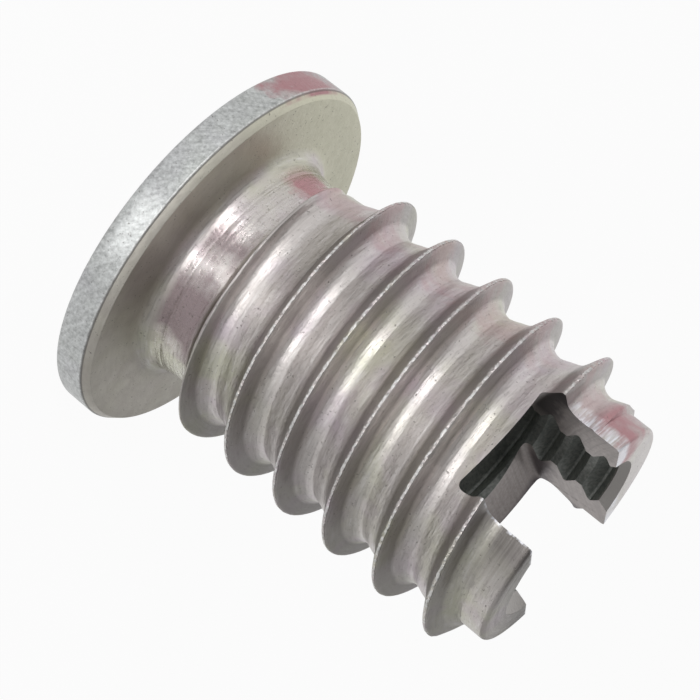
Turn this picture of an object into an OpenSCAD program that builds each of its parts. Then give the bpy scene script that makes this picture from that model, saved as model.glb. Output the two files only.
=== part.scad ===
// Flanged screw-in insert: a turned steel bush with a coarse outer thread, a
// tapped metric bore, a hexagon socket in its head and a sawn slot in its tip.
// The outer face of the flange lies on z = 0 and the tip points up along z.
// Every length is in millimetres.

/* [Flange] */
// Diameter of the flange
flange_d = 13; // [11:0.5:20]
// Height of the straight rim of the flange
rim_h = 1.04; // [0.6:0.02:2]
// Height of the bevel between the rim and the seat
bevel_h = 0.27; // [0.05:0.01:0.5]
// Width of the bevel between the rim and the seat
bevel_w = 0.2; // [0.05:0.01:0.5]
// Rounding of the rim at the outer face
rim_round = 0.12; // [0.05:0.01:0.3]

/* [Neck and core] */
// Diameter of the plain neck under the flange
neck_d = 7.74; // [7.5:0.02:8]
// Radius of the fillet between the seat and the neck
neck_fillet = 0.45; // [0.2:0.05:0.8]
// Distance from the outer face to the end of the neck
neck_end = 2.6; // [2.2:0.1:3]
// Length of the taper from the neck to the core
neck_taper = 0.6; // [0.3:0.1:1]
// Diameter of the core between the turns of the outer thread
core_d = 8.1; // [8:0.02:8.6]
// Total length from the outer face to the tip
total_l = 15.3; // [13:0.1:30]
// Rounding of the outer edge at the tip
tip_round = 0.15; // [0.05:0.01:0.3]

/* [Outer thread] */
// Outer diameter of the thread
thread_d = 10; // [9.4:0.1:11]
// Distance between neighbouring turns
thread_pitch = 2; // [1.8:0.1:3]
// Height of the thread's first crest above the outer face, on the +x side
first_crest_z = 3.32; // [3.1:0.02:3.8]
// Width of the crest
crest_w = 0.16; // [0.08:0.01:0.3]
// Width of the steep flank, which faces the tip
tip_flank_w = 0.3; // [0.2:0.01:0.4]
// Width of the slanted flank, which faces the flange
seat_flank_w = 0.4; // [0.25:0.01:0.5]
// Rise of the slanted root between two turns
root_rise = 0.25; // [0.1:0.01:0.4]
// Length of the bare pilot at the tip
pilot_l = 0.85; // [0.5:0.05:2]
// Angle of the lead cone behind the pilot, from the axis
lead_angle = 60; // [40:1:70]

/* [Bore] */
// Diameter of the bore at the crests of its tapped thread
bore_d = 5; // [4.2:0.1:5.5]
// Diameter of the countersink at the tip
countersink_d = 5.8; // [5.6:0.1:6.4]

/* [Hexagon socket] */
// Width of the socket across its flats
socket_af = 6; // [5.6:0.1:6.2]
// Depth of the socket
socket_depth = 4.2; // [3:0.1:6]
// Diameter of the bevel at the socket's mouth
socket_mouth_d = 6.7; // [6.2:0.1:7]

/* [Slot] */
// Width of the slot across the tip
slot_w = 3.9; // [2:0.1:4.5]
// Depth of the slot on the axis
slot_depth = 3.5; // [2:0.1:5]
// Diameter of the disc cutter that sinks the slot
cutter_d = 22; // [16:1:40]
// Corner radius of the disc cutter
cutter_corner = 0.25; // [0.1:0.01:0.5]

/* [Hidden] */
$fn = 96;

flange_r = flange_d / 2;
flange_t = rim_h + bevel_h;
neck_r = neck_d / 2;
core_r = core_d / 2;
thread_r = thread_d / 2;
bore_r = bore_d / 2;
socket_corner_r = socket_af / 2 / cos(30);
pilot_z = total_l - pilot_l;
// How far a cutting shape runs past the surface it cuts
over = 1;

// The ridge of the outer thread starts and ends under the surface of the body.
turn_steps = 36;
buried_r = neck_r - 0.12;
ridge_root_r = buried_r - 0.2;
ridge_top_z = pilot_z + 1.15;
rise_from = -90;
rise_to = 90;
root_from = 210;
root_to = 250;
ridge_end = (ridge_top_z - first_crest_z) / thread_pitch * 360;
ridge_steps = ceil((ridge_end - rise_from) / 360 * turn_steps);

// Section of the ridge along one pitch: place along z from the crest, radius
// at full height, and whether the point belongs to the slanted root.
crest_edge = crest_w / 2;
crest_drop = 0.03;
tip_foot = crest_edge + tip_flank_w;
seat_foot = crest_edge + seat_flank_w;
root_start = tip_foot + 0.12 - thread_pitch;
ridge_section = [
    [root_start - 0.06, core_r - 0.08, true],
    [root_start, core_r + 0.02, true],
    [-seat_foot, core_r + root_rise, true],
    [-crest_edge, thread_r - crest_drop, false],
    [0, thread_r, false],
    [crest_edge, thread_r - crest_drop, false],
    [tip_foot, core_r + 0.04, false],
    [tip_foot + 0.05, core_r - 0.08, false],
];

// Share of a rise that is reached at an angle
function share(angle, from, to) = min(1, max(0, (angle - from) / (to - from)));

// Share of its full height that a section point has at an angle
function height_share(angle, is_root) = is_root
    ? min(share(angle, root_from, root_to), share(angle, ridge_end, ridge_end - 90))
    : share(angle, rise_from, rise_to);

// Largest radius that the lead cone leaves at a height
function lead_r(z) = max(buried_r, core_r + (pilot_z - z) * tan(lead_angle));

// Height of a point, which settles inside the pilot where the ridge is buried
function settled(z) = let (top = pilot_z + 0.1) z < top ? z : top + (z - top) * 0.2;

// A point at a radius, an angle and a height
function around(r, angle, z) = [r * cos(angle), r * sin(angle), z];

// A point of the ridge at an angle, from a row of its section
function ridge_point(angle, row) = let (
    z = first_crest_z + thread_pitch * angle / 360 + row[0],
    r = buried_r + (row[1] - buried_r) * height_share(angle, row[2])
) around(min(r, lead_r(z)), angle, settled(z));

// The buried point that closes a section of the ridge
function ridge_root(angle) = let (
    z = first_crest_z + thread_pitch * angle / 360 + (tip_foot + root_start) / 2
) around(ridge_root_r, angle, settled(z));

module ridge() {
    n = len(ridge_section) + 1;
    angles = [for (i = [0:ridge_steps]) rise_from + (ridge_end - rise_from) * i / ridge_steps];
    points = [
        for (angle = angles)
        each [for (row = ridge_section) ridge_point(angle, row), ridge_root(angle)]
    ];
    sides = [
        for (i = [0:ridge_steps - 1], j = [0:n - 1])
        let (a = i * n + j, b = i * n + (j + 1) % n)
        each [[a, b, b + n], [a, b + n, a + n]]
    ];
    first = [for (j = [n - 1:-1:0]) j];
    last = [for (j = [0:n - 1]) ridge_steps * n + j];
    polyhedron(points, concat(sides, [first, last]));
}

module flange_section() {
    difference() {
        polygon([
            [0, 0],
            [flange_r, 0],
            [flange_r, rim_h],
            [flange_r - bevel_w, flange_t],
            [0, flange_t],
        ]);
        translate([flange_r - rim_round, 0]) rim_corner();
    }
}

// The sharp corner that the rounding takes off the rim
module rim_corner() {
    difference() {
        translate([0, -over]) square([over, rim_round + over]);
        translate([0, rim_round]) circle(r = rim_round);
    }
}

module neck_section() {
    polygon([
        [0, 0],
        [neck_r, 0],
        [neck_r, neck_end],
        [core_r, neck_end + neck_taper],
        [core_r, total_l - tip_round],
        [core_r - tip_round, total_l - tip_round],
        [core_r - tip_round, total_l],
        [0, total_l],
    ]);
    translate([core_r - tip_round, total_l - tip_round]) circle(r = tip_round);
    difference() {
        square([neck_r + neck_fillet, flange_t + neck_fillet]);
        translate([neck_r + neck_fillet, flange_t + neck_fillet]) circle(r = neck_fillet);
    }
}

module bore() {
    sink = (countersink_d - bore_d) / 2;
    translate([0, 0, -over]) cylinder(r = bore_r, h = total_l + 2 * over);
    translate([0, 0, total_l - sink])
        cylinder(r1 = bore_r, r2 = bore_r + sink + over, h = sink + over);
}

module socket() {
    floor_cone = (socket_af - bore_d) / 2;
    mouth_sink = (socket_mouth_d - socket_af) / 2;
    translate([0, 0, -over]) cylinder(r = socket_corner_r, h = socket_depth + over, $fn = 6);
    translate([0, 0, socket_depth])
        cylinder(r1 = bore_r + floor_cone * 0.9, r2 = bore_r, h = floor_cone * 0.9);
    translate([0, 0, -over])
        cylinder(r1 = socket_mouth_d / 2 + over, r2 = socket_af / 2, h = mouth_sink + over);
}

// The slot that a disc cutter leaves when it sinks into the tip along the axis
module slot() {
    cutter_r = cutter_d / 2;
    straight = slot_w - 2 * cutter_corner;
    translate([0, 0, total_l - slot_depth + cutter_r]) rotate([90, 0, 0]) rotate_extrude() {
        translate([0, -slot_w / 2]) square([cutter_r - cutter_corner, slot_w]);
        translate([0, -straight / 2]) square([cutter_r, straight]);
        for (side = [-1, 1])
            translate([cutter_r - cutter_corner, side * straight / 2]) circle(r = cutter_corner);
    }
}

module insert() {
    color("silver") difference() {
        union() {
            rotate_extrude() {
                flange_section();
                neck_section();
            }
            ridge();
        }
        bore();
        socket();
        slot();
    }
}

insert();
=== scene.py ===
import math

import bpy
from mathutils import Matrix, Vector


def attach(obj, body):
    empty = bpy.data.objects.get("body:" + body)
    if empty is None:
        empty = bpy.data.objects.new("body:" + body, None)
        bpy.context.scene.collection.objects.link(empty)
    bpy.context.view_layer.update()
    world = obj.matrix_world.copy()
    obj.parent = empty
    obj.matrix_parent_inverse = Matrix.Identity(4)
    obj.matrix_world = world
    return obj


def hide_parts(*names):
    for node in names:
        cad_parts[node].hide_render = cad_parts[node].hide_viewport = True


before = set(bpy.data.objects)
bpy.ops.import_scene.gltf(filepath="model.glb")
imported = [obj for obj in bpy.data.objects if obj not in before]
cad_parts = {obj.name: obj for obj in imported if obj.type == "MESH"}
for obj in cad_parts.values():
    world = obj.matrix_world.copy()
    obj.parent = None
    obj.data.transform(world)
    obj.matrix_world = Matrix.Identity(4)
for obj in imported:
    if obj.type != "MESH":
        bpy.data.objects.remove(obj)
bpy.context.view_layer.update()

MM = 0.001
FULL_TURN = 2 * math.pi
MERGE_DISTANCE = 1e-7

# Sizes of the insert in mm. Its outer face lies on z = 0 and its tip points up.
FLANGE_R, RIM_H, SEAT_Z = 6.5, 1.04, 1.31
CORE_R, TOP_Z = 4.05, 15.3
PITCH, CREST_Z = 2.0, 3.32
PILOT_Z, LEAD_ANGLE = 14.45, 60
BORE_R, ROOT_R, BORE_PITCH = 2.5, 3.0, 1.0
SLOT_W, SLOT_FLOOR_Z = 3.9, 11.8
CUTTER_R, CUTTER_CORNER = 11.0, 0.25
CUTTER_Z = SLOT_FLOOR_Z + CUTTER_R
SOCKET_AF, SOCKET_DEPTH = 6.0, 4.2
# How far a cutting shape runs past the surface it cuts
OVER = 1


# Node trees

class Value:
    """A number in a node tree. Sums and products of values add their Math nodes."""

    def __init__(self, nodes, socket):
        self.nodes, self.socket = nodes, socket

    def __add__(self, other):
        return self.nodes.math("ADD", self, other)

    def __radd__(self, other):
        return self.nodes.math("ADD", other, self)

    def __sub__(self, other):
        return self.nodes.math("SUBTRACT", self, other)

    def __rsub__(self, other):
        return self.nodes.math("SUBTRACT", other, self)

    def __mul__(self, other):
        return self.nodes.math("MULTIPLY", self, other)

    def __rmul__(self, other):
        return self.nodes.math("MULTIPLY", other, self)

    def __truediv__(self, other):
        return self.nodes.math("DIVIDE", self, other)

    def __rtruediv__(self, other):
        return self.nodes.math("DIVIDE", other, self)


class Nodes:
    """The nodes of one tree, which are added by type, settings and socket values."""

    def __init__(self, tree):
        self.tree = tree

    def add(self, kind, settings=None, **sockets):
        """Adds a node: its settings first, then a value or a link for each socket."""
        node = self.tree.nodes.new(kind)
        for name, setting in (settings or {}).items():
            setattr(node, name, setting)
        for name, value in sockets.items():
            self.plug(self.find(node.inputs, name), value)
        return node

    def find(self, sockets, name):
        """The enabled socket of that name, written with _ for a space, or of that place as _0, _1."""
        if name[0] == "_" and name[1:].isdigit():
            return sockets[int(name[1:])]
        words = name.replace("_", " ").lower()
        return next(s for s in sockets if s.enabled and s.name.lower() == words)

    def plug(self, socket, value):
        if isinstance(value, Value):
            value = value.socket
        if isinstance(value, bpy.types.NodeSocket):
            self.tree.links.new(value, socket)
        else:
            socket.default_value = value

    def out(self, node, name="_0"):
        return Value(self, self.find(node.outputs, name))

    def math(self, operation, *terms):
        sockets = {f"_{place}": term for place, term in enumerate(terms)}
        return self.out(self.add("ShaderNodeMath", {"operation": operation}, **sockets))

    def least(self, a, b):
        return self.math("MINIMUM", a, b)

    def most(self, a, b):
        return self.math("MAXIMUM", a, b)

    def share(self, value, start, end):
        """How far a value has come from start to end, held between 0 and 1."""
        return self.out(self.add("ShaderNodeMapRange", Value=value, From_Min=start, From_Max=end))

    def choose(self, share, off, on):
        """The number off where the share is 0, and on where it is 1."""
        return off + (on - off) * share

    def vector(self, x, y, z):
        return self.out(self.add("ShaderNodeCombineXYZ", X=x, Y=y, Z=z))

    def noise(self, place, scale, detail=2.0, rough=0.5):
        """Noise around 0.5 at a vector."""
        return self.out(self.add("ShaderNodeTexNoise", {"noise_dimensions": "3D"}, Vector=place,
                                 Scale=scale, Detail=detail, Roughness=rough), "Fac")

    def blend(self, share, off, on):
        """The colour off where the share is 0, and on where it is 1."""
        mixed = self.add("ShaderNodeMix", {"data_type": "RGBA"}, Factor=share, A=off, B=on)
        return self.out(mixed, "Result")

    def background_rays(self):
        """1 for the rays that see the background: the camera's, and those off or through the shiny."""
        rays = self.add("ShaderNodeLightPath")
        return self.most(self.out(rays, "Is_Camera_Ray"),
                         self.most(self.out(rays, "Is_Glossy_Ray"), self.out(rays, "Is_Transmission_Ray")))


def new_material(name):
    """A material without nodes yet."""
    material = bpy.data.materials.new(name)
    material.use_nodes = True
    material.node_tree.nodes.clear()
    return material


# Finishes

class Finish(Nodes):
    """A plated metal material, with the places on the insert that its patterns follow, in mm."""

    def __init__(self, name, grain_detail=3.0, grain_rough=0.6):
        self.material = new_material(name)
        super().__init__(self.material.node_tree)
        point = self.add("ShaderNodeTexCoord").outputs["Object"]
        self.mm = self.out(self.add("ShaderNodeVectorMath", {"operation": "SCALE"}, _0=point, Scale=1 / MM))
        parts = self.add("ShaderNodeSeparateXYZ", Vector=self.mm)
        self.x, self.y, self.z = (self.out(parts, axis) for axis in ("X", "Y", "Z"))
        self.radius = self.math("SQRT", self.x * self.x + self.y * self.y)
        self.angle = self.math("ARCTAN2", self.y, self.x)
        self.grain = self.noise(self.mm, scale=8.0, detail=grain_detail, rough=grain_rough)
        self.colour = None

    def band(self, value, start, end, soft):
        """1 between start and end, and softly 0 outside."""
        return self.share(value, start - soft, start) * self.share(value, end + soft, end)

    def mottle(self, pattern, start, end, dark, light):
        """A colour that follows a pattern from dark at start to light at end."""
        return self.blend(self.share(pattern, start, end), dark, light)

    def paint(self, share, colour):
        """Lays a colour over the one that is there."""
        self.colour = self.blend(share, self.colour, colour)

    def finish(self, roughness, height, depth):
        """Ends the material. Height is a relief of that depth in mm."""
        bump = self.add("ShaderNodeBump", Strength=1.0, Distance=depth * MM, Height=height)
        metal = self.add("ShaderNodeBsdfPrincipled", Base_Color=self.colour, Metallic=1.0,
                         Roughness=roughness, Normal=bump.outputs[0])
        self.add("ShaderNodeOutputMaterial", Surface=metal.outputs[0])
        return self.material


# Colours of the turned surface, each with alpha. A pair runs from dark to light.
PLATING = (0.55, 0.515, 0.50, 1)
# The rose colour is that of a painted reflection.
STRAW, MAUVE, ROSE_REFLECTION_COLOUR = (0.52, 0.525, 0.40, 1), (0.53, 0.455, 0.51, 1), (0.42, 0.235, 0.25, 1)
LINE_COLOURS = (0.26, 0.24, 0.225, 1), (0.62, 0.60, 0.585, 1)
CHATTER_COLOURS = (0.26, 0.24, 0.23, 1), (0.72, 0.70, 0.69, 1)
# The flank colour is painted shade on the thread's flanks.
GRAIN_COLOUR, FLANK_SHADE_COLOUR = (0.25, 0.235, 0.22, 1), (0.24, 0.225, 0.215, 1)
PILOT_COLOURS = (0.10, 0.09, 0.085, 1), (0.22, 0.205, 0.195, 1)
SEAT_COLOURS = (0.48, 0.455, 0.40, 1), (0.56, 0.54, 0.475, 1)
END_COLOURS = (0.58, 0.55, 0.54, 1), (0.78, 0.75, 0.73, 1)
RIM_COLOURS = (0.27, 0.29, 0.29, 1), (0.64, 0.67, 0.67, 1)
BARE_COLOURS = (0.40, 0.40, 0.39, 1), (0.74, 0.74, 0.73, 1)
# The pale seat colour is painted light, on the seat's -y side.
# The stain colour also serves as painted shade on the neck.
STAIN_AND_SHADE_COLOUR, SEAT_LIGHT_COLOUR = (0.22, 0.165, 0.175, 1), (0.60, 0.59, 0.47, 1)
# The burr colour is bright metal with a painted highlight.
# The pit colour also paints shade in the crease above the rim.
BURR_GLINT_COLOUR, PIT_AND_CREASE_SHADE_COLOUR = (0.80, 0.81, 0.86, 1), (0.14, 0.13, 0.12, 1)

# Where places of the turned surface fade in or out, or begin and end, in mm
THREAD_START_Z, THREAD_END_Z, PILOT_Z_FADE = (2.9, 3.2), (14.3, 13.9), (13.9, 14.3)
PILOT_R_FADE, NECK_R_FADE, NECK_Z = (4.5, 4.3), (4.3, 4.0), (1.8, 2.9)
FLANK_R, CREST_R_FADE, ABOVE_SEAT_Z = (4.42, 4.90), (4.965, 4.995), (1.6, 1.9)
SEAT_Z_FADE, SEAT_R_FADE = (1.50, 1.34), (4.20, 4.50)
RIM_Z_FADE, RIM_R_FADE, RIM_SIDE_R = (1.09, 1.05), (6.38, 6.44), (6.40, 6.44)
RIM_EDGE_Z, CREASE_SHADE_Z = (1.01, 1.04), (1.055, 1.085)
NEAR_SIDE_Y, FAR_SIDE_Y, FAR_WALL_Y = (0.1, -0.1), (-0.1, 0.1), (3.7, 2.4)


def tints(m):
    """The straw and mauve tints of clear zinc plating."""
    elsewhere = m.vector(m.x, m.y + 7, m.z)
    straw = m.share(m.noise(m.mm, scale=0.33, detail=3.0), 0.48, 0.66)
    mauve = m.share(m.noise(elsewhere, scale=0.55, detail=3.0), 0.50, 0.70)
    m.paint(straw * 0.7, STRAW)
    m.paint(mauve * 0.7, MAUVE)


def rose_streak(m, threaded):
    """A painted reflection of something rose-coloured, down one side of the insert, weakest on the thread.
    """
    edge = (m.noise(m.mm, scale=1.6, detail=4.0, rough=0.6) - 0.5) * 0.6
    streak = m.band(m.angle + edge, math.radians(-56), math.radians(-40), soft=0.18)
    off_seat = m.most(m.share(m.radius, 6.36, 6.40), m.share(m.z, 1.6, 2.2))
    streak = streak * off_seat
    patchy = m.share(m.noise(m.mm, scale=0.6, detail=3.0), 0.36, 0.52)
    return streak * patchy * m.choose(threaded, 1.0, 0.38)


def turning_lines(m, threaded):
    """The tool's fine lines, which wind along the thread and run in rings elsewhere."""
    turn = m.z * (FULL_TURN / PITCH) - m.angle
    along = PITCH / FULL_TURN
    drift = m.noise(m.mm, scale=0.3, detail=1.0)
    helix = m.vector(m.math("COSINE", turn) * along + drift * 0.15,
                     m.math("SINE", turn) * along, m.radius * 1.3)
    rings = m.vector(m.radius, m.z, drift * 0.12)
    ring_lines, helix_lines = (m.noise(way, scale=9.0, detail=3.0, rough=0.65) for way in (rings, helix))
    return m.choose(threaded, ring_lines, helix_lines)


def slot_burr(m, near_side, ragged):
    """Burrs on the slot's edges at the tip with a painted highlight on them, over a wider strip on the near
    side.
    """
    off_slot = m.math("ABSOLUTE", m.math("ABSOLUTE", m.y) - SLOT_W / 2)
    start, end = m.choose(near_side, 0.07, 0.62), m.choose(near_side, 0.03, 0.38)
    burr_glint = m.share(off_slot + ragged * 2, start, end)
    strokes = m.noise(m.vector(m.z * 9.0, m.angle * 3.0, 0.0), scale=1.0)
    return burr_glint * m.share(m.z, 13.2, 13.7) * m.share(strokes, 0.42, 0.60)


def neck_stain(m, neck):
    """Two dark patches side by side on the neck: a wide stain, and a narrow band of painted shade between
    the lamps' highlights, a little weaker.
    """
    blotch = m.angle + (m.noise(m.mm, scale=0.9) - 0.5) * 0.7
    wide = m.band(blotch, math.radians(34), math.radians(62), soft=0.22)
    narrow_shade = m.band(blotch, math.radians(9), math.radians(14), soft=0.16)
    return m.most(wide, narrow_shade * 0.85) * neck


def turned_finish():
    m = Finish("turned_steel", grain_detail=4.0, grain_rough=0.65)

    # Places on the insert, each 1 inside and 0 outside
    threaded = m.share(m.z, *THREAD_START_Z) * m.share(m.z, *THREAD_END_Z)
    pilot = m.share(m.z, *PILOT_Z_FADE) * m.share(m.radius, *PILOT_R_FADE)
    neck = m.band(m.z, *NECK_Z, soft=0.4) * m.share(m.radius, *NECK_R_FADE)
    rim = m.share(m.radius, *RIM_R_FADE) * m.share(m.z, *RIM_Z_FADE)
    seat = m.share(m.z, *SEAT_Z_FADE) * m.share(m.radius, *SEAT_R_FADE) * (1 - rim)
    flank_shade = m.band(m.radius, *FLANK_R, soft=0.10) * threaded
    near_side = m.share(m.y, *NEAR_SIDE_Y)
    far_pilot = pilot * m.choose(m.share(m.y, *FAR_SIDE_Y), 0.15, 0.9 * m.share(m.y, *FAR_WALL_Y))
    end_face = m.share(m.z, TOP_Z - 0.06, TOP_Z - 0.02) * near_side
    # A thin line of painted shade where the rim meets its bevel
    rim_crease_shade = m.band(m.z, *CREASE_SHADE_Z, soft=0.02) * m.share(m.radius, *RIM_SIDE_R)

    # Patterns
    fine_lines = turning_lines(m, threaded)
    chatter = m.noise(m.vector(m.x * 1.3, m.y * 1.3, m.z * 9.0 - m.radius * 5.0), scale=1.0, rough=0.6)
    waves = m.noise(m.mm, scale=1.6)
    scratches = m.noise(m.vector((m.y + m.z) * 9.0, (m.y - m.z) * 1.6, m.x * 1.8), scale=1.0)
    speckle = m.grain * 0.68 + scratches * 0.32

    # Wear
    pits = m.share(m.noise(m.mm, scale=11.0), 0.33, 0.27)
    ragged = (m.noise(m.mm, scale=5.0) - 0.5) * 0.12
    crest = m.share(m.radius + ragged, *CREST_R_FADE) * m.share(m.z, *ABOVE_SEAT_Z)
    nicks = m.noise(m.mm, scale=5.0, detail=3.0, rough=0.7) * crest
    worn_crest = crest * m.share(nicks, 0.42, 0.56)
    rim_edge = m.band(m.z + ragged * 0.3, *RIM_EDGE_Z, soft=0.02) * m.share(m.radius, *RIM_SIDE_R)

    # Colour, from the plating outwards
    m.colour = PLATING
    tints(m)
    dark_line, light_line = LINE_COLOURS
    m.paint(m.share(fine_lines, 0.45, 0.75) * 0.35, light_line)
    m.paint(m.share(fine_lines, 0.46, 0.26) * 0.30, dark_line)
    m.paint(m.share(m.grain, 0.44, 0.30) * 0.35, GRAIN_COLOUR)
    dark_chatter, light_chatter = CHATTER_COLOURS
    m.paint(m.share(chatter, 0.56, 0.72) * 0.45, light_chatter)
    m.paint(m.share(chatter, 0.44, 0.28) * 0.35, dark_chatter)
    # Painted shade on the thread's flanks
    m.paint(flank_shade * 0.55, FLANK_SHADE_COLOUR)
    m.paint(far_pilot, m.mottle(fine_lines, 0.35, 0.65, *PILOT_COLOURS))
    m.paint(seat * 0.75, m.mottle(waves, 0.3, 0.7, *SEAT_COLOURS))
    m.paint(end_face * 0.6, m.mottle(m.grain, 0.3, 0.7, *END_COLOURS))
    # A stain on the neck, and beside it a band of painted shade
    m.paint(neck_stain(m, neck) * 0.85, STAIN_AND_SHADE_COLOUR)
    # Painted light: the seat paler towards -y
    m.paint(seat * m.share(m.y, 0.3, -4.5) * 0.9, SEAT_LIGHT_COLOUR)
    m.paint(rim * 0.75, m.mottle(speckle, 0.36, 0.66, *RIM_COLOURS))
    # A painted rose reflection down one side of the insert
    m.paint(rose_streak(m, threaded), ROSE_REFLECTION_COLOUR)
    m.paint(m.most(worn_crest * 0.85, rim_edge * 0.5), m.mottle(m.grain, 0.35, 0.65, *BARE_COLOURS))
    # Burrs at the slot, with a painted highlight on them
    m.paint(slot_burr(m, near_side, ragged) * 0.9, BURR_GLINT_COLOUR)
    # Dark pits, and painted shade in the crease above the rim
    m.paint(m.most(pits, rim_crease_shade) * 0.6, PIT_AND_CREASE_SHADE_COLOUR)

    rough = m.choose(m.share(m.grain, 0.3, 0.7), 0.34, 0.46) + seat * 0.08 + rim * 0.04 - neck * 0.12
    relief = fine_lines * m.choose(seat, 0.4, 0.08) + m.grain * (0.7 + rim * 0.5) + waves * 1.5
    relief = relief - pits * 0.5 + nicks * 6.0 + chatter * (1 - rim) * (1 - seat)
    return m.finish(rough, relief, depth=0.012)


def tapped_finish():
    m = Finish("tapped_steel")
    sunk = m.share(m.z + (m.grain - 0.5) * 0.2, TOP_Z - 0.42, TOP_Z - 0.38)
    # The bore's dark colour is partly its own and partly painted shade deep in the bore; the countersink at
    # its mouth keeps a lighter colour.
    m.colour = m.mottle(m.grain, 0.35, 0.7, (0.19, 0.20, 0.19, 1), (0.31, 0.32, 0.30, 1))
    m.paint(sunk, (0.42, 0.40, 0.385, 1))
    return m.finish(roughness=0.55, height=m.grain, depth=0.015)


def sawn_finish():
    m = Finish("sawn_steel")
    rise = m.z - CUTTER_Z
    reach = m.math("SQRT", m.x * m.x + rise * rise)
    strokes = m.noise(m.vector(reach, m.y, 0.0), scale=7.0, detail=3.0, rough=0.6)
    uneven = (m.noise(m.mm, scale=2.0, detail=3.0) - 0.5) * 1.2
    low, off_bore, off_floor = (13.3, 12.9), (2.6, 3.0), (10.95, 10.7)
    # Painted shade low on the cut faces, near the slot's floor
    slot_floor_shade = m.share(m.z + uneven, *low) * m.share(m.radius, *off_bore) * m.share(reach, *off_floor)
    outer = m.most(m.share(m.radius + (m.grain - 0.5) * 0.3, 4.1, 4.4), slot_floor_shade)
    m.colour = m.mottle(m.grain, 0.3, 0.7, (0.34, 0.305, 0.295, 1), (0.46, 0.42, 0.405, 1))
    m.paint(m.share(strokes, 0.5, 0.3) * 0.4, (0.22, 0.20, 0.195, 1))
    # Darker towards -x
    m.paint(m.share(m.x, 0.5, -1.0) * 0.28, (0.17, 0.15, 0.145, 1))
    # Darker on the ridge's section, and painted shade near the slot's floor
    m.paint(outer * 0.85, (0.10, 0.085, 0.092, 1))
    return m.finish(roughness=0.42, height=strokes * 0.6 + m.grain * 0.4, depth=0.012)


def broached_finish():
    m = Finish("broached_steel")
    strokes = m.noise(m.vector(m.x, m.y, m.z * 0.12), scale=6.0, detail=3.0, rough=0.6)
    m.colour = m.mottle(strokes, 0.3, 0.7, (0.26, 0.25, 0.235, 1), (0.42, 0.405, 0.385, 1))
    return m.finish(roughness=0.42, height=strokes * 0.7 + m.grain * 0.3, depth=0.015)


turned_steel = turned_finish()
tapped_steel = tapped_finish()
sawn_steel = sawn_finish()
broached_steel = broached_finish()
FINISHES = [turned_steel, tapped_steel, sawn_steel, broached_steel]
# The attribute that carries a face's place in FINISHES through the joining and cutting
FINISH_MARK = "finish_number"


# Solids that are turned or wound from a section

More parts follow.
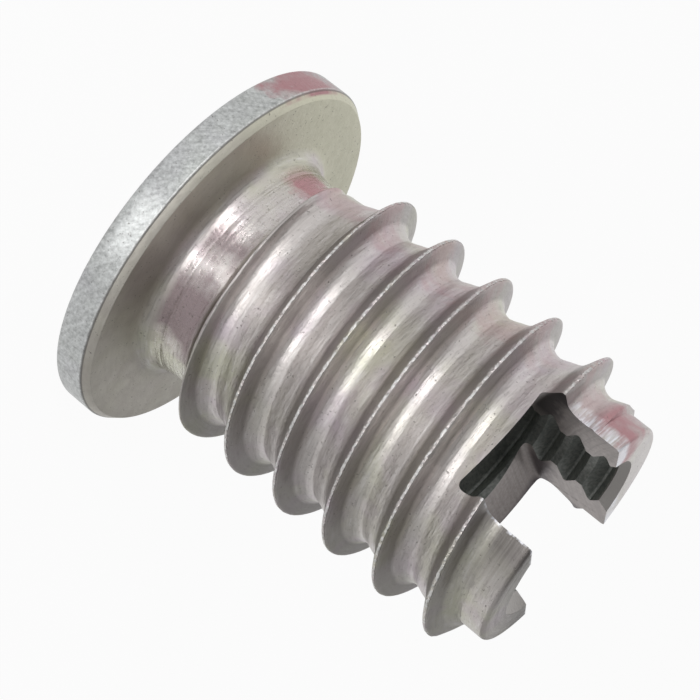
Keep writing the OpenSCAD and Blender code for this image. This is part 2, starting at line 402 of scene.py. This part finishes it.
class WindingTree:
    """Geometry nodes that wind a section round the z axis, with a rise along it for a thread."""

    # Angles for a solid without a rise or a fade: the rise is over by then, and the fade never comes
    BEFORE, AFTER = -20.0, 900.0
    SIZES = {
        "Pitch": 0.0,
        "Start height": 0.0,
        "Start angle": 0.0,
        "End angle": FULL_TURN,
        "Steps": 96,
        "Buried radius": 0.0,
        "Rise start": BEFORE,
        "Rise end": BEFORE + 1,
        "Root start": BEFORE,
        "Root end": BEFORE + 1,
        "Fade start": AFTER,
        "Fade end": AFTER + 1,
        "Lead height": 1.0,
        "Lead slope": 1.0,
        "Lead radius": 0.0,
        "Pointed ends": 0.0,
        "Run in spread": 1.0,
        "Foot radius": 0.0,
        "Foot end": BEFORE + 1,
        "Unevenness": 0.0,
        "Finish number": 0,
    }
    # The unevenness is noise on a circle of 1, with the height scaled up to match
    UNEVEN_RISE, UNEVEN_SCALE = 260, 14.0
    # Above the lead cone's start a point's height settles to a share, so the ridge ends inside the pilot
    SETTLE_AFTER, SETTLE_SHARE = 0.1 * MM, 0.2

    def __init__(self):
        self.tree = bpy.data.node_groups.new("wind_section", "GeometryNodeTree")
        self.tree.is_modifier = True
        face = self.tree.interface
        face.new_socket("Section", in_out="INPUT", socket_type="NodeSocketGeometry")
        for name, size in self.SIZES.items():
            kind = "NodeSocketInt" if isinstance(size, int) else "NodeSocketFloat"
            face.new_socket(name, in_out="INPUT", socket_type=kind).default_value = size
        face.new_socket("Finish", in_out="INPUT", socket_type="NodeSocketMaterial")
        face.new_socket("Solid", in_out="OUTPUT", socket_type="NodeSocketGeometry")
        self.build(Nodes(self.tree))

    def build(self, n):
        given = n.add("NodeGroupInput")
        size = {name: Value(n, given.outputs[name]) for name in self.SIZES}

        # A sheet with a row for each step and a column for each point of the section
        section = given.outputs["Section"]
        count = n.out(n.add("GeometryNodeAttributeDomainSize", Geometry=section), "Point Count")
        sheet = n.add("GeometryNodeMeshGrid", Vertices_X=size["Steps"] + 1, Vertices_Y=count)
        index = n.out(n.add("GeometryNodeInputIndex"))
        row = n.math("FLOOR", (index + 0.5) / count)
        place = n.add("GeometryNodeInputPosition").outputs[0]
        sampled = n.add("GeometryNodeSampleIndex", {"data_type": "FLOAT_VECTOR"},
                        Geometry=section, Value=place, Index=index - row * count)
        parts = n.add("ShaderNodeSeparateXYZ", Vector=sampled.outputs[0])
        full_radius, is_root, rise = (n.out(parts, axis) for axis in ("X", "Y", "Z"))

        # How much of the ridge and of its root has grown at this angle
        angle = n.choose(row / size["Steps"], size["Start angle"], size["End angle"])
        between = n.least(n.share(row, 0, 1), n.share(row, size["Steps"], size["Steps"] - 1))
        open_end = n.choose(size["Pointed ends"], 1, between)
        ridge = n.share(angle, size["Rise start"], size["Rise end"])
        root_in = n.share(angle, size["Root start"], size["Root end"])
        root = n.least(root_in, n.share(angle, size["Fade end"], size["Fade start"]))
        grown = n.choose(is_root, ridge, root) * open_end

        # Height, with the flange's side of the section drawn in where the thread runs in
        settled = n.share(angle, size["Rise start"], size["Rise end"] + FULL_TURN)
        spread = n.choose(settled, size["Run in spread"], 1.0)
        spread = n.choose(is_root * root_in, spread, 1.0)
        rise = n.most(rise, 0.0) + n.least(rise, 0.0) * spread
        height = size["Start height"] + rise * open_end + size["Pitch"] * angle / FULL_TURN

        # Radius, less a little unevenness and what the lead cone takes off
        cosine, sine = n.math("COSINE", angle), n.math("SINE", angle)
        beside = n.vector(cosine, sine, height * self.UNEVEN_RISE)
        uneven = n.noise(beside, scale=self.UNEVEN_SCALE, detail=3.0)
        foot = n.choose(n.share(angle, size["Rise start"], size["Foot end"]),
                        size["Buried radius"], size["Foot radius"])
        foot = n.choose(is_root, foot, size["Buried radius"])
        radius = n.least(full_radius, foot) + n.most(full_radius - foot, 0.0) * grown
        radius = radius - size["Unevenness"] * n.most(uneven - 0.5, 0.0)
        lead = size["Lead radius"] + (size["Lead height"] - height) * size["Lead slope"]
        radius = n.least(radius, n.most(lead, size["Buried radius"]))
        top = size["Lead height"] + self.SETTLE_AFTER
        height = n.least(height, top + (height - top) * self.SETTLE_SHARE)

        point = n.vector(radius * cosine, radius * sine, height)
        moved = n.add("GeometryNodeSetPosition", Geometry=sheet.outputs["Mesh"], Position=point)
        closed = n.add("GeometryNodeMergeByDistance", Geometry=moved.outputs[0], Distance=MERGE_DISTANCE)
        real = n.add("GeometryNodeRealizeInstances", Geometry=closed.outputs[0])
        marked = n.add("GeometryNodeStoreNamedAttribute", {"data_type": "INT", "domain": "FACE"},
                       Geometry=real.outputs[0], Name=FINISH_MARK, Value=size["Finish number"])
        coated = n.add("GeometryNodeSetMaterial", Geometry=marked.outputs[0],
                       Material=given.outputs["Finish"])
        n.add("NodeGroupOutput", _0=coated.outputs[0])


winding = WindingTree().tree


def placed(name, data):
    """An object in the scene that holds a mesh, a lamp or a camera."""
    thing = bpy.data.objects.new(name, data)
    bpy.context.scene.collection.objects.link(thing)
    return thing


def baked(holder):
    """The holder's evaluated mesh as a plain mesh. The holder goes."""
    bpy.context.view_layer.update()
    graph = bpy.context.evaluated_depsgraph_get()
    mesh = bpy.data.meshes.new_from_object(holder.evaluated_get(graph), depsgraph=graph)
    old = holder.data
    bpy.data.objects.remove(holder)
    bpy.data.meshes.remove(old)
    return mesh


def wound(name, finish, section, **sizes):
    """A solid from a closed section of (radius, height) in mm, or (radius, height, is_root)."""
    points = [(p[0] * MM, float(p[2]) if len(p) > 2 else 0.0, p[1] * MM) for p in section]
    mesh = bpy.data.meshes.new(name)
    mesh.from_pydata(points, [], [])
    holder = placed(name, mesh)
    modifier = holder.modifiers.new("wind", "NODES")
    modifier.node_group = winding
    by_name = {s.name: s.identifier for s in winding.interface.items_tree if s.in_out == "INPUT"}
    modifier[by_name["Finish"]] = finish
    modifier[by_name["Finish number"]] = FINISHES.index(finish)
    sizes.setdefault("Foot_radius", sizes.get("Buried_radius", 0.0))
    for size_name, size in sizes.items():
        modifier[by_name[size_name.replace("_", " ")]] = size
    mesh = baked(holder)
    mesh.name = name
    return mesh


def turned(name, finish, section, steps):
    """A solid of revolution whose section runs from the axis to the axis."""
    return wound(name, finish, section, Steps=steps)


def arc(centre, radius, start, end, steps):
    """Points on an arc, with its angles in degrees."""
    angles = [math.radians(start + (end - start) * i / steps) for i in range(steps + 1)]
    return [(centre[0] + radius * math.cos(a), centre[1] + radius * math.sin(a)) for a in angles]


# Places on the fillet, the neck and the step to the core, as (radius, height)
NECK_SECTION = [
    (4.62, SEAT_Z + 0.005), (4.46, 1.335), (4.32, 1.385), (4.21, 1.45), (4.13, 1.52), (4.07, 1.60),
    (4.04, 1.68), (4.01, 1.76), (3.985, 1.86), (3.97, 1.96), (3.96, 1.985), (3.953, 2.00),
    (3.953, 2.015), (3.95, 2.05), (3.925, 2.2), (3.89, 2.4), (3.86, 2.6), (3.845, 2.8), (3.845, 3.0),
    (3.86, 3.08), (3.90, 3.13), (4.02, 3.20),
]

# Places on the section of one turn, as (radius, height above the crest, 1 on the slanted root)
RIDGE_SECTION = [
    (3.95, -1.62, 1), (4.035, -1.52, 1), (4.043, -1.40, 1), (4.049, -1.31, 1), (4.06, -1.22, 1),
    (4.082, -1.12, 1), (4.122, -1.00, 1), (4.18, -0.85, 1), (4.235, -0.68, 1), (4.30, -0.54, 1),
    (4.39, -0.44, 0), (4.53, -0.345, 0), (4.72, -0.235, 0), (4.90, -0.125, 0), (4.965, -0.08, 0),
    (4.993, -0.045, 0), (5.0, -0.005, 0), (4.993, 0.035, 0), (4.955, 0.065, 0), (4.72, 0.12, 0),
    (4.455, 0.175, 0), (4.36, 0.218, 0), (4.274, 0.278, 0), (4.20, 0.352, 0), (4.14, 0.438, 0),
    (4.096, 0.533, 0), (4.069, 0.633, 0), (4.056, 0.72, 0), (4.047, 0.82, 0), (3.95, 0.92, 0),
    (3.55, -0.3, 0), (3.95, -1.62, 1),
]


def body_section():
    """Half of the body's outline, from its outer face round the flange and up the core to the tip."""
    rim_round, rim_edge, seat_edge, tip_round = 0.12, 0.03, 0.04, 0.15
    bevel_angle, seat_edge_in = 37, 0.24
    core = [(CORE_R - 0.02, 3.25 + i) for i in range(11)]
    return [(0, 0), (3, 0), (5.2, 0),
            *arc((FLANGE_R - rim_round, rim_round), rim_round, -90, 0, 6),
            *arc((FLANGE_R - rim_edge, RIM_H - rim_edge), rim_edge, 0, bevel_angle, 2),
            *arc((FLANGE_R - seat_edge_in, SEAT_Z - seat_edge), seat_edge, bevel_angle, 90, 3),
            (5.8, SEAT_Z), (5.0, SEAT_Z), *NECK_SECTION, *core,
            (CORE_R, 14.0), (CORE_R, 14.5), (CORE_R, 14.85),
            *arc((CORE_R - tip_round, TOP_Z - tip_round), tip_round, 0, 90, 6),
            (3.3, TOP_Z), (0, TOP_Z)]


def outer_thread():
    """The ridge of the outer thread, which grows out of the neck and ends inside the pilot."""
    past_pilot = 1.15
    turn_end = (PILOT_Z + past_pilot - CREST_Z) / PITCH * FULL_TURN
    return wound(
        "outer_thread", turned_steel, RIDGE_SECTION, Pitch=PITCH * MM, Start_height=CREST_Z * MM,
        Start_angle=-math.pi / 2, End_angle=turn_end, Steps=620, Buried_radius=3.75 * MM,
        Rise_start=-math.pi / 2, Rise_end=math.pi / 2,
        Root_start=math.radians(210), Root_end=math.radians(250),
        Fade_start=turn_end - math.pi / 2, Fade_end=turn_end,
        Lead_height=PILOT_Z * MM, Lead_slope=math.tan(math.radians(LEAD_ANGLE)),
        Lead_radius=CORE_R * MM, Pointed_ends=1.0, Run_in_spread=0.1,
        Foot_radius=4.04 * MM, Foot_end=math.radians(-30), Unevenness=0.05 * MM)


def tapped_thread():
    """The groove of the tapped thread, with the standard flats at its mouth and floor."""
    inside, floor_round, half_floor = 0.1, 0.02, 0.04
    half_mouth = 3 / 8 * BORE_PITCH + inside * math.tan(math.radians(30))
    half_flat = BORE_PITCH / 16
    section = [(BORE_R - inside, -half_mouth), (ROOT_R - floor_round, -half_flat),
               (ROOT_R, -half_floor), (ROOT_R, half_floor),
               (ROOT_R - floor_round, half_flat), (BORE_R - inside, half_mouth),
               (BORE_R - inside, -half_mouth)]
    seen_height, seen_angle = 14.6, 220.5
    phase = seen_height - seen_angle / 360 * BORE_PITCH
    start_z, end_z = 4.75, 16.2
    first = round((start_z - phase) / BORE_PITCH * 360) / 360 * FULL_TURN
    last = round((end_z - phase) / BORE_PITCH * 360) / 360 * FULL_TURN
    return wound("tapped_thread", tapped_steel, section, Pitch=BORE_PITCH * MM, Start_height=phase * MM,
                 Start_angle=first, End_angle=last, Steps=840, Buried_radius=2.2 * MM,
                 Pointed_ends=1.0, Rise_start=first, Rise_end=first + 0.8)


def bore():
    """The bore at the crests of its thread, with its countersink at the tip."""
    sink, above = 0.4, 0.5
    section = [(0, -OVER), (BORE_R, -OVER), (BORE_R, TOP_Z - sink),
               (BORE_R + (sink + above), TOP_Z + above), (0, TOP_Z + above)]
    return turned("bore", tapped_steel, section, steps=144)


def socket():
    """The hexagon socket, with the drill's cone in its floor."""
    corner = SOCKET_AF / 2 / math.cos(math.radians(30))
    cone_r, cone_h = 2.95, 0.5
    section = [(0, -OVER), (corner, -OVER), (corner, SOCKET_DEPTH), (cone_r, SOCKET_DEPTH),
               (BORE_R - 0.05, SOCKET_DEPTH + cone_h), (0, SOCKET_DEPTH + cone_h)]
    return wound("socket", broached_steel, section, Steps=6)


def mouth():
    """The bevel at the socket's mouth."""
    sink = 0.35
    section = [(0, -OVER), (SOCKET_AF / 2 + sink + OVER, -OVER), (SOCKET_AF / 2, sink), (0, sink)]
    return turned("mouth", broached_steel, section, steps=96)


def slot():
    """The disc cutter that sinks into the tip along the axis, with its own axis along y."""
    half, edge_r = SLOT_W / 2, CUTTER_R - CUTTER_CORNER
    section = [(0, -half), *arc((edge_r, -half + CUTTER_CORNER), CUTTER_CORNER, -90, 0, 6),
               *arc((edge_r, half - CUTTER_CORNER), CUTTER_CORNER, 0, 90, 6), (0, half)]
    disc = turned("slot", sawn_steel, section, steps=240)
    disc.transform(Matrix.Translation((0, 0, CUTTER_Z * MM)) @ Matrix.Rotation(math.pi / 2, 4, "X"))
    return disc


class CuttingTree:
    """Geometry nodes that join the solids, cut the tools out of them and give faces their finish."""

    SHARP_ANGLE = 30.0

    def __init__(self, solids, tools):
        self.tree = bpy.data.node_groups.new("cut_insert", "GeometryNodeTree")
        self.tree.is_modifier = True
        face = self.tree.interface
        face.new_socket("Body", in_out="INPUT", socket_type="NodeSocketGeometry")
        sharp = face.new_socket("Sharp angle", in_out="INPUT", socket_type="NodeSocketFloat")
        sharp.default_value = self.SHARP_ANGLE
        face.new_socket("Insert", in_out="OUTPUT", socket_type="NodeSocketGeometry")
        n = Nodes(self.tree)
        given = n.add("NodeGroupInput")
        shape = self.cut(n, given.outputs["Body"], solids, tools)
        shape = self.shade(n, shape, Value(n, given.outputs["Sharp angle"]))
        n.add("NodeGroupOutput", _0=self.coat(n, shape))

    def cut(self, n, shape, solids, tools):
        for operation, parts in (("UNION", solids), ("DIFFERENCE", tools)):
            for part in parts:
                other = n.add("GeometryNodeObjectInfo", Object=part)
                join = n.add("GeometryNodeMeshBoolean", {"operation": operation, "solver": "MANIFOLD"})
                n.plug(join.inputs["Mesh 1" if operation == "DIFFERENCE" else "Mesh 2"], shape)
                n.plug(join.inputs["Mesh 2"], other.outputs["Geometry"])
                shape = join.outputs["Mesh"]
        return n.add("GeometryNodeMergeByDistance", Geometry=shape, Distance=MERGE_DISTANCE).outputs[0]

    def shade(self, n, shape, sharp_angle):
        """Smooth faces, with the edges that bend more than the sharp angle left sharp."""
        bend = n.out(n.add("GeometryNodeInputMeshEdgeAngle"), "Unsigned_Angle")
        soft = n.math("LESS_THAN", bend, sharp_angle * (math.pi / 180))
        faces = n.add("GeometryNodeSetShadeSmooth", {"domain": "FACE"}, Geometry=shape)
        edges = n.add("GeometryNodeSetShadeSmooth", {"domain": "EDGE"}, Geometry=faces.outputs[0],
                      Shade_Smooth=soft)
        return n.add("GeometryNodeRealizeInstances", Geometry=edges.outputs[0]).outputs[0]

    def coat(self, n, shape):
        """The finish that each face was marked with before the cutting."""
        mark = n.out(n.add("GeometryNodeInputNamedAttribute", {"data_type": "INT"}, Name=FINISH_MARK))
        for number, finish in enumerate(FINISHES):
            same = n.math("COMPARE", mark, number, 0.5)
            shape = n.add("GeometryNodeSetMaterial", Geometry=shape, Selection=same,
                          Material=finish).outputs[0]
        return shape


def make_insert():
    """The whole insert as one mesh."""
    body = placed("body", turned("body", turned_steel, body_section(), steps=240))
    solids = [placed("outer_thread", outer_thread())]
    tools = [placed(make.__name__, make()) for make in (bore, tapped_thread, socket, mouth, slot)]
    body.modifiers.new("cut", "NODES").node_group = CuttingTree(solids, tools).tree
    mesh = baked(body)
    for part in solids + tools:
        bpy.data.objects.remove(part)
    mesh.name = "insert_piece"
    return placed("insert_piece", mesh)


insert = make_insert()
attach(insert, "root")
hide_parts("insert")


# Floor, light and camera, in metres

MIDDLE = Vector((0, 0, 0.0075))
WHITE = (1, 1, 1, 1)


def facing(place, target):
    """The turn that points the -z axis of something at a place towards a target."""
    return (target - place).to_track_quat("-Z", "Y").to_euler()


def around_insert(azimuth, elevation, distance):
    """A point round the insert's middle, with its azimuth from +x."""
    a, e = math.radians(azimuth), math.radians(elevation)
    return Vector((math.cos(e) * math.cos(a), math.cos(e) * math.sin(a), math.sin(e))) * distance + MIDDLE


def flat_sheet(name, width, height, material):
    """A flat rectangle in the xy plane, round the origin."""
    x, y = width / 2, height / 2
    mesh = bpy.data.meshes.new(name)
    mesh.from_pydata([(-x, -y, 0), (x, -y, 0), (x, y, 0), (-x, y, 0)], [], [(0, 1, 2, 3)])
    mesh.materials.append(material)
    return placed(name, mesh)


def make_world():
    world = bpy.data.worlds.new("studio")
    world.use_nodes = True
    world.node_tree.nodes.clear()
    n = Nodes(world.node_tree)
    dim = n.add("ShaderNodeBackground", Color=WHITE, Strength=0.45)
    white = n.add("ShaderNodeBackground", Color=WHITE, Strength=1.0)
    mixed = n.add("ShaderNodeMixShader", _0=n.background_rays(), _1=dim.outputs[0], _2=white.outputs[0])
    n.add("ShaderNodeOutputWorld", Surface=mixed.outputs[0])
    bpy.context.scene.world = world


def make_floor():
    """White paper whose shadows still show faintly."""
    paper = new_material("white_paper")
    n = Nodes(paper.node_tree)
    plain = n.add("ShaderNodeBsdfDiffuse", Color=(0.85, 0.85, 0.85, 1))
    white = n.add("ShaderNodeEmission", Color=WHITE, Strength=1.0)
    mixed = n.add("ShaderNodeMixShader", _0=n.background_rays() * 0.94, _1=plain.outputs[0],
                  _2=white.outputs[0])
    n.add("ShaderNodeOutputMaterial", Surface=mixed.outputs[0])
    floor = flat_sheet("floor", 6, 6, paper)


def make_camera():
    """The camera, whose place follows from the insert's axis as the camera's own axes see it."""
    tilt, turn, spin = math.radians(16.482), math.radians(-38.9348), math.radians(15.204)
    axis = Vector((math.cos(tilt) * math.cos(turn), math.cos(tilt) * math.sin(turn), math.sin(tilt)))
    near = (Vector((0, 0, 1)) - axis * axis.z).normalized()
    side = axis.cross(near)
    x_axis = near * math.cos(spin) - side * math.sin(spin)
    y_axis = near * math.sin(spin) + side * math.cos(spin)
    seen = Matrix((x_axis, y_axis, axis))
    sight_mark = Vector((0, 0, 7.933)) * MM
    mark_in_view = Vector((1.1285, -1.1924, -64.85)) * MM
    data = bpy.data.cameras.new("camera")
    data.sensor_width, data.lens = 36.0, 107.246
    data.clip_start, data.clip_end = 0.001, 20.0
    camera = placed("camera", data)
    camera.matrix_world = Matrix.Translation(sight_mark - seen @ mark_in_view) @ seen.to_4x4()
    bpy.context.scene.camera = camera


def softbox(name, azimuth, elevation, distance, width, height, power):
    """A soft lamp that shines on the insert's middle."""
    data = bpy.data.lights.new(name, "AREA")
    data.shape, data.size, data.size_y, data.energy = "RECTANGLE", width, height, power
    lamp = placed(name, data)
    lamp.location = around_insert(azimuth, elevation, distance)
    lamp.rotation_euler = facing(lamp.location, MIDDLE)
    lamp.visible_camera = False


def reflection_card(name, place, turn, width, height, strength):
    """A card that only reflections in the metal see, as a studio sets one beside shiny parts."""
    paint = new_material(name)
    n = Nodes(paint.node_tree)
    glow = n.add("ShaderNodeEmission", Color=WHITE, Strength=strength)
    n.add("ShaderNodeOutputMaterial", Surface=glow.outputs[0])
    card = flat_sheet(name, width, height, paint)
    card.location, card.rotation_euler = place, turn
    for ray in ("camera", "diffuse", "transmission", "volume_scatter", "shadow"):
        setattr(card, "visible_" + ray, False)


def card_round_insert(name, azimuth, elevation, distance, width, height, strength):
    """A reflection card that faces the insert's middle."""
    place = around_insert(azimuth, elevation, distance)
    reflection_card(name, place, facing(place, MIDDLE), width, height, strength)


make_world()
make_floor()
make_camera()
softbox("left_lamp", azimuth=-9, elevation=16, distance=0.25, width=0.055, height=0.12, power=0.138)
softbox("right_lamp", azimuth=31, elevation=18, distance=0.25, width=0.035, height=0.10, power=0.10)
card_round_insert("ceiling_card", azimuth=0, elevation=89, distance=0.12,
                  width=0.26, height=0.26, strength=0.35)
card_round_insert("side_card", azimuth=110, elevation=20, distance=0.16,
                  width=0.20, height=0.12, strength=0.48)
card_round_insert("back_card", azimuth=165, elevation=20, distance=0.16,
                  width=0.16, height=0.12, strength=0.40)
strip_turn, strip_reach, strip_z = math.radians(25), 0.0225, 0.0001
strip_place = Vector((math.cos(strip_turn), math.sin(strip_turn), 0)) * strip_reach
strip_place.z = strip_z
reflection_card("floor_strip", strip_place, (0, 0, strip_turn), width=0.031, height=0.0028, strength=2.2)

scene = bpy.context.scene
scene.view_settings.view_transform = "Standard"
